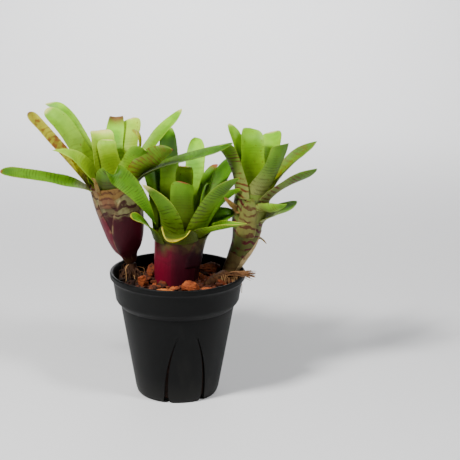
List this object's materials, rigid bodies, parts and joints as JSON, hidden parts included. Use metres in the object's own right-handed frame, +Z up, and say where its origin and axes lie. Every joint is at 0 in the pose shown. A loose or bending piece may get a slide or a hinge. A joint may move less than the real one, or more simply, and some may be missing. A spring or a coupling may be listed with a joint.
{
  "type": "potted neoregelia hybrid",
  "caption": "Clump of strap-leaved bromeliad rosettes on dark sheath tubes, rooted in coarse bark in a round black slit pot.",
  "frame": {"origin": "centre of the pot's flat bottom, on the surface that the pot stands on", "axes": "+Z up out of the pot, +X to the right and +Y to the back as the plant is seen from its front"},
  "size_m": [0.2095, 0.1102, 0.1918],
  "materials": {
    "pot_plastic": "satin charcoal black moulding",
    "bark_brown": "rough dark fir bark",
    "bark_orange": "rough orange fir bark",
    "bark_tan": "rough tan fir bark",
    "root_brown": "dry brown fibre",
    "sheath_maroon": "waxy maroon with grey-green mottling above",
    "sheath_crimson": "waxy crimson to dark maroon",
    "sheath_banded": "grey-green with maroon cross bands",
    "leaf_green": "satin lime green, banded near the base",
    "leaf_pale": "satin pale lime green",
    "leaf_deep": "satin deeper green, banded near the base",
    "leaf_yellow": "satin yellow with red-brown blotches",
    "leaf_dried": "dry tan husk"
  },
  "bodies": {
    "root": {"pot": "pot_plastic", "bark_bed": "bark_brown", "bark_chunk_front_large": "bark_orange", "bark_chunk_front_tan": "bark_tan", "bark_chunk_front_right": "bark_orange", "bark_chunk_left_orange": "bark_orange", "bark_chunk_left_small": "bark_brown", "bark_chunk_beside_tube": "bark_brown", "bark_chunk_back_right": "bark_brown", "bark_chunk_back": "bark_orange", "left_roots": "root_brown", "right_roots": "root_brown", "left_sheath_vase": "sheath_maroon", "centre_sheath_tube": "sheath_crimson", "right_sheath_stem": "sheath_banded", "left_leaf_low_long": "leaf_green", "left_leaf_yellow": "leaf_yellow", "left_leaf_short_forward": "leaf_green", "left_leaf_front_arching": "leaf_green", "left_leaf_long_reach": "leaf_deep", "left_leaf_broad_behind": "leaf_pale", "left_leaf_dried_stub": "leaf_dried", "left_leaf_back_low": "leaf_deep", "left_leaf_back_curled": "leaf_pale", "left_leaf_back_round": "leaf_pale", "left_leaf_broad_upper": "leaf_green", "left_leaf_right_raised": "leaf_pale", "left_leaf_right_banded": "leaf_green", "left_leaf_front_lime": "leaf_green", "left_leaf_cup": "leaf_pale", "left_leaf_narrow": "leaf_yellow", "left_leaf_heart": "leaf_green", "centre_leaf_scoop": "leaf_green", "centre_leaf_horn": "leaf_green", "centre_leaf_right_low": "leaf_green", "centre_leaf_right_behind": "leaf_deep", "centre_leaf_back_left": "leaf_deep", "centre_leaf_back_low": "leaf_deep", "centre_leaf_front_left": "leaf_green", "centre_leaf_right_raised": "leaf_green", "centre_leaf_back_right": "leaf_deep", "centre_leaf_right_light": "leaf_pale", "centre_leaf_back_tall": "leaf_deep", "centre_leaf_back_middle": "leaf_pale", "centre_leaf_red_tip": "leaf_green", "centre_leaf_upright_front": "leaf_green", "centre_leaf_inner_small": "leaf_green", "centre_leaf_heart": "leaf_green", "right_leaf_low": "leaf_green", "right_leaf_low_front": "leaf_pale", "right_leaf_left_banded": "leaf_green", "right_leaf_banded": "leaf_deep", "right_leaf_back_low": "leaf_deep", "right_leaf_spotted": "leaf_green", "right_leaf_rolled": "leaf_green", "right_leaf_left_raised": "leaf_green", "right_leaf_back_pale": "leaf_pale", "right_leaf_broad_middle": "leaf_green", "right_leaf_dried_curl": "leaf_dried", "right_leaf_dried_spike": "leaf_dried"}
  },
  "joints": []
}
